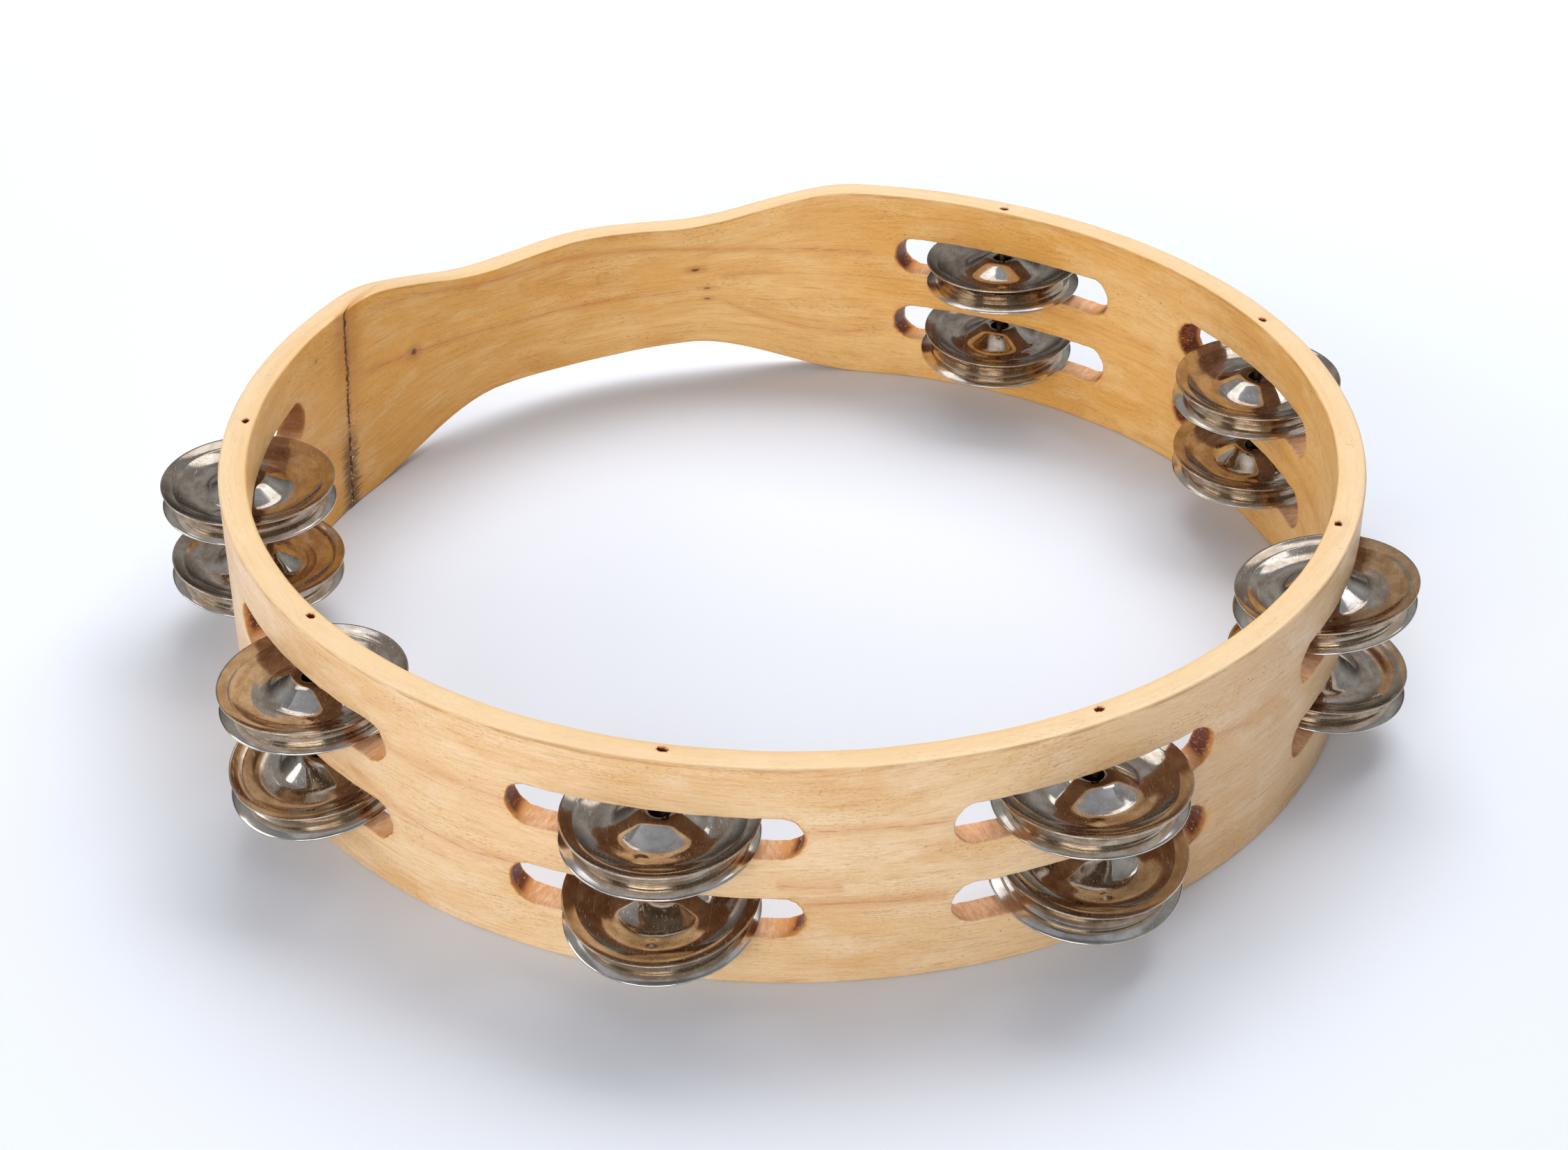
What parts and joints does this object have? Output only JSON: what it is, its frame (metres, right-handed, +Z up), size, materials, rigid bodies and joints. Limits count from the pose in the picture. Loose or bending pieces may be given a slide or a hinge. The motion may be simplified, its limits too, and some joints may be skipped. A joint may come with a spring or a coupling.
{
  "type": "tambourine",
  "caption": "Headless wooden tambourine: bent hoop with a scalloped hand grip and two rows of slots holding back-to-back jingle pairs on steel pins.",
  "frame": {"origin": "middle of the footprint, on the plane that the hoop's bottom edge rests on", "axes": "+Z up along the hoop's axis and the pins, +Y towards the hand grip, +X to the right of the grip seen from above with the grip at the back"},
  "size_m": [0.2841, 0.2699, 0.0528],
  "materials": {
    "maple": "pale tan hardwood with a thin satin clear coat, faint growth lines along the hoop",
    "dried_glue": "dark dried wood glue, crusty",
    "nail_steel": "dull bare steel wire",
    "plated_steel": "bright nickel plating with fine scratches and specks"
  },
  "bodies": {
    "hoop": {"hoop": "maple", "scarf_glue": "dried_glue", "pin_1": "nail_steel", "pin_2": "nail_steel", "pin_3": "nail_steel", "pin_4": "nail_steel", "pin_5": "nail_steel", "pin_6": "nail_steel", "pin_7": "nail_steel"},
    "jingle_1_upper_bottom": {"jingle_1_upper_bottom": "plated_steel"},
    "jingle_1_upper_top": {"jingle_1_upper_top": "plated_steel"},
    "jingle_1_lower_bottom": {"jingle_1_lower_bottom": "plated_steel"},
    "jingle_1_lower_top": {"jingle_1_lower_top": "plated_steel"},
    "jingle_2_upper_bottom": {"jingle_2_upper_bottom": "plated_steel"},
    "jingle_2_upper_top": {"jingle_2_upper_top": "plated_steel"},
    "jingle_2_lower_bottom": {"jingle_2_lower_bottom": "plated_steel"},
    "jingle_2_lower_top": {"jingle_2_lower_top": "plated_steel"},
    "jingle_3_upper_bottom": {"jingle_3_upper_bottom": "plated_steel"},
    "jingle_3_upper_top": {"jingle_3_upper_top": "plated_steel"},
    "jingle_3_lower_bottom": {"jingle_3_lower_bottom": "plated_steel"},
    "jingle_3_lower_top": {"jingle_3_lower_top": "plated_steel"},
    "jingle_4_upper_bottom": {"jingle_4_upper_bottom": "plated_steel"},
    "jingle_4_upper_top": {"jingle_4_upper_top": "plated_steel"},
    "jingle_4_lower_bottom": {"jingle_4_lower_bottom": "plated_steel"},
    "jingle_4_lower_top": {"jingle_4_lower_top": "plated_steel"},
    "jingle_5_upper_bottom": {"jingle_5_upper_bottom": "plated_steel"},
    "jingle_5_upper_top": {"jingle_5_upper_top": "plated_steel"},
    "jingle_5_lower_bottom": {"jingle_5_lower_bottom": "plated_steel"},
    "jingle_5_lower_top": {"jingle_5_lower_top": "plated_steel"},
    "jingle_6_upper_bottom": {"jingle_6_upper_bottom": "plated_steel"},
    "jingle_6_upper_top": {"jingle_6_upper_top": "plated_steel"},
    "jingle_6_lower_bottom": {"jingle_6_lower_bottom": "plated_steel"},
    "jingle_6_lower_top": {"jingle_6_lower_top": "plated_steel"},
    "jingle_7_upper_bottom": {"jingle_7_upper_bottom": "plated_steel"},
    "jingle_7_upper_top": {"jingle_7_upper_top": "plated_steel"},
    "jingle_7_lower_bottom": {"jingle_7_lower_bottom": "plated_steel"},
    "jingle_7_lower_top": {"jingle_7_lower_top": "plated_steel"}
  },
  "joints": [
    {"name": "rattle_1_upper_bottom", "type": "slide", "parent": "hoop", "child": "jingle_1_upper_bottom", "axis": [0, 0, 1], "range_m": [0, 0.0008]},
    {"name": "rattle_1_upper_top", "type": "slide", "parent": "jingle_1_upper_bottom", "child": "jingle_1_upper_top", "axis": [0, 0, 1], "range_m": [0, 0.0008]},
    {"name": "rattle_1_lower_bottom", "type": "slide", "parent": "hoop", "child": "jingle_1_lower_bottom", "axis": [0, 0, 1], "range_m": [0, 0.0012]},
    {"name": "rattle_1_lower_top", "type": "slide", "parent": "jingle_1_lower_bottom", "child": "jingle_1_lower_top", "axis": [0, 0, 1], "range_m": [0, 0.0012]},
    {"name": "rattle_2_upper_bottom", "type": "slide", "parent": "hoop", "child": "jingle_2_upper_bottom", "axis": [0, 0, 1], "range_m": [0, 0.0012]},
    {"name": "rattle_2_upper_top", "type": "slide", "parent": "jingle_2_upper_bottom", "child": "jingle_2_upper_top", "axis": [0, 0, 1], "range_m": [0, 0.0012]},
    {"name": "rattle_2_lower_bottom", "type": "slide", "parent": "hoop", "child": "jingle_2_lower_bottom", "axis": [0, 0, 1], "range_m": [0, 0.001]},
    {"name": "rattle_2_lower_top", "type": "slide", "parent": "jingle_2_lower_bottom", "child": "jingle_2_lower_top", "axis": [0, 0, 1], "range_m": [0, 0.001]},
    {"name": "rattle_3_upper_bottom", "type": "slide", "parent": "hoop", "child": "jingle_3_upper_bottom", "axis": [0, 0, 1], "range_m": [0, 0.0006]},
    {"name": "rattle_3_upper_top", "type": "slide", "parent": "jingle_3_upper_bottom", "child": "jingle_3_upper_top", "axis": [0, 0, 1], "range_m": [0, 0.0006]},
    {"name": "rattle_3_lower_bottom", "type": "slide", "parent": "hoop", "child": "jingle_3_lower_bottom", "axis": [0, 0, 1], "range_m": [0, 0.0011]},
    {"name": "rattle_3_lower_top", "type": "slide", "parent": "jingle_3_lower_bottom", "child": "jingle_3_lower_top", "axis": [0, 0, 1], "range_m": [0, 0.0011]},
    {"name": "rattle_4_upper_bottom", "type": "slide", "parent": "hoop", "child": "jingle_4_upper_bottom", "axis": [0, 0, 1], "range_m": [0, 0.0013]},
    {"name": "rattle_4_upper_top", "type": "slide", "parent": "jingle_4_upper_bottom", "child": "jingle_4_upper_top", "axis": [0, 0, 1], "range_m": [0, 0.0013]},
    {"name": "rattle_4_lower_bottom", "type": "slide", "parent": "hoop", "child": "jingle_4_lower_bottom", "axis": [0, 0, 1], "range_m": [0, 0.0005]},
    {"name": "rattle_4_lower_top", "type": "slide", "parent": "jingle_4_lower_bottom", "child": "jingle_4_lower_top", "axis": [0, 0, 1], "range_m": [0, 0.0005]},
    {"name": "rattle_5_upper_bottom", "type": "slide", "parent": "hoop", "child": "jingle_5_upper_bottom", "axis": [0, 0, 1], "range_m": [0, 0.0011]},
    {"name": "rattle_5_upper_top", "type": "slide", "parent": "jingle_5_upper_bottom", "child": "jingle_5_upper_top", "axis": [0, 0, 1], "range_m": [0, 0.0011]},
    {"name": "rattle_5_lower_bottom", "type": "slide", "parent": "hoop", "child": "jingle_5_lower_bottom", "axis": [0, 0, 1], "range_m": [0, 0.0005]},
    {"name": "rattle_5_lower_top", "type": "slide", "parent": "jingle_5_lower_bottom", "child": "jingle_5_lower_top", "axis": [0, 0, 1], "range_m": [0, 0.0005]},
    {"name": "rattle_6_upper_bottom", "type": "slide", "parent": "hoop", "child": "jingle_6_upper_bottom", "axis": [0, 0, 1], "range_m": [0, 0.0009]},
    {"name": "rattle_6_upper_top", "type": "slide", "parent": "jingle_6_upper_bottom", "child": "jingle_6_upper_top", "axis": [0, 0, 1], "range_m": [0, 0.0009]},
    {"name": "rattle_6_lower_bottom", "type": "slide", "parent": "hoop", "child": "jingle_6_lower_bottom", "axis": [0, 0, 1], "range_m": [0, 0.0006]},
    {"name": "rattle_6_lower_top", "type": "slide", "parent": "jingle_6_lower_bottom", "child": "jingle_6_lower_top", "axis": [0, 0, 1], "range_m": [0, 0.0006]},
    {"name": "rattle_7_upper_bottom", "type": "slide", "parent": "hoop", "child": "jingle_7_upper_bottom", "axis": [0, 0, 1], "range_m": [0, 0.0013]},
    {"name": "rattle_7_upper_top", "type": "slide", "parent": "jingle_7_upper_bottom", "child": "jingle_7_upper_top", "axis": [0, 0, 1], "range_m": [0, 0.0013]},
    {"name": "rattle_7_lower_bottom", "type": "slide", "parent": "hoop", "child": "jingle_7_lower_bottom", "axis": [0, 0, 1], "range_m": [0, 0.0012]},
    {"name": "rattle_7_lower_top", "type": "slide", "parent": "jingle_7_lower_bottom", "child": "jingle_7_lower_top", "axis": [0, 0, 1], "range_m": [0, 0.0012]}
  ]
}
